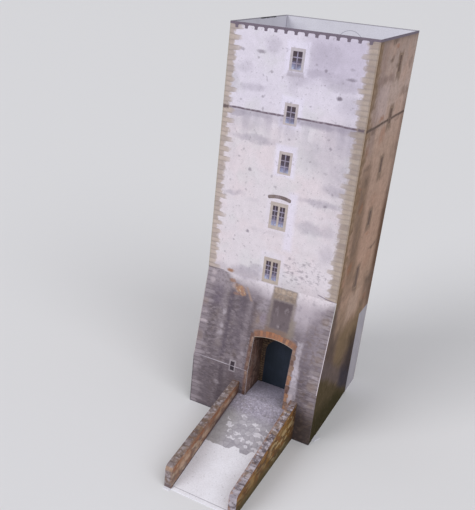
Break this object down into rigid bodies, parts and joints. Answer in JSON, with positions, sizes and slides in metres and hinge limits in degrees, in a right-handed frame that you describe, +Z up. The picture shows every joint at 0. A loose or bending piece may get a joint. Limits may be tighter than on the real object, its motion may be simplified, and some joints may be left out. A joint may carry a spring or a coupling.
{
  "type": "card model castle keep",
  "caption": "Printed card model of a square castle gate tower, open at the top, with a battered foot, an arched gateway niche and a walled approach ramp.",
  "frame": {"origin": "centre of the footprint on the ground, the ramp and the tab ends counted", "axes": "+Z up, -Y towards the foot of the ramp, +X to the right of someone facing the gate"},
  "size_m": [0.0624, 0.1238, 0.172],
  "materials": {
    "plaster_print": "matte print on card",
    "stone_print": "matte print on card",
    "side_print": "matte print on card",
    "niche_print": "matte print on card",
    "parapet_print": "matte print on card",
    "coping_print": "matte print on card",
    "road_print": "matte print on card",
    "dark_print": "matte print on card",
    "bare_card": "matte white card"
  },
  "bodies": {
    "root": {"front_wall": "plaster_print", "left_wall": "side_print", "right_wall": "side_print", "back_wall": "plaster_print", "corner_tab": "bare_card", "batter_left": "stone_print", "batter_right": "stone_print", "gate_head": "stone_print", "batter_tab_left": "bare_card", "batter_tab_right": "bare_card", "plinth_left": "stone_print", "plinth_right": "stone_print", "plinth_under_gate": "stone_print", "gate_reveal_left": "niche_print", "gate_reveal_right": "niche_print", "gate_vault": "niche_print", "gate_back_wall": "niche_print", "gate_door": "dark_print", "gate_floor": "road_print", "foot_tab_front": "bare_card", "foot_tab_left": "bare_card", "foot_tab_right": "bare_card", "foot_tab_back": "bare_card", "stray_tab": "bare_card", "ramp_road": "road_print", "ramp_head_tab": "bare_card", "left_parapet_outer": "parapet_print", "left_parapet_inner": "parapet_print", "left_parapet_coping": "coping_print", "left_parapet_end": "coping_print", "left_parapet_tab": "bare_card", "left_end_tab": "bare_card", "right_parapet_outer": "parapet_print", "right_parapet_inner": "parapet_print", "right_parapet_coping": "coping_print", "right_parapet_end": "coping_print", "right_parapet_tab": "bare_card", "right_end_tab": "bare_card"}
  },
  "joints": []
}
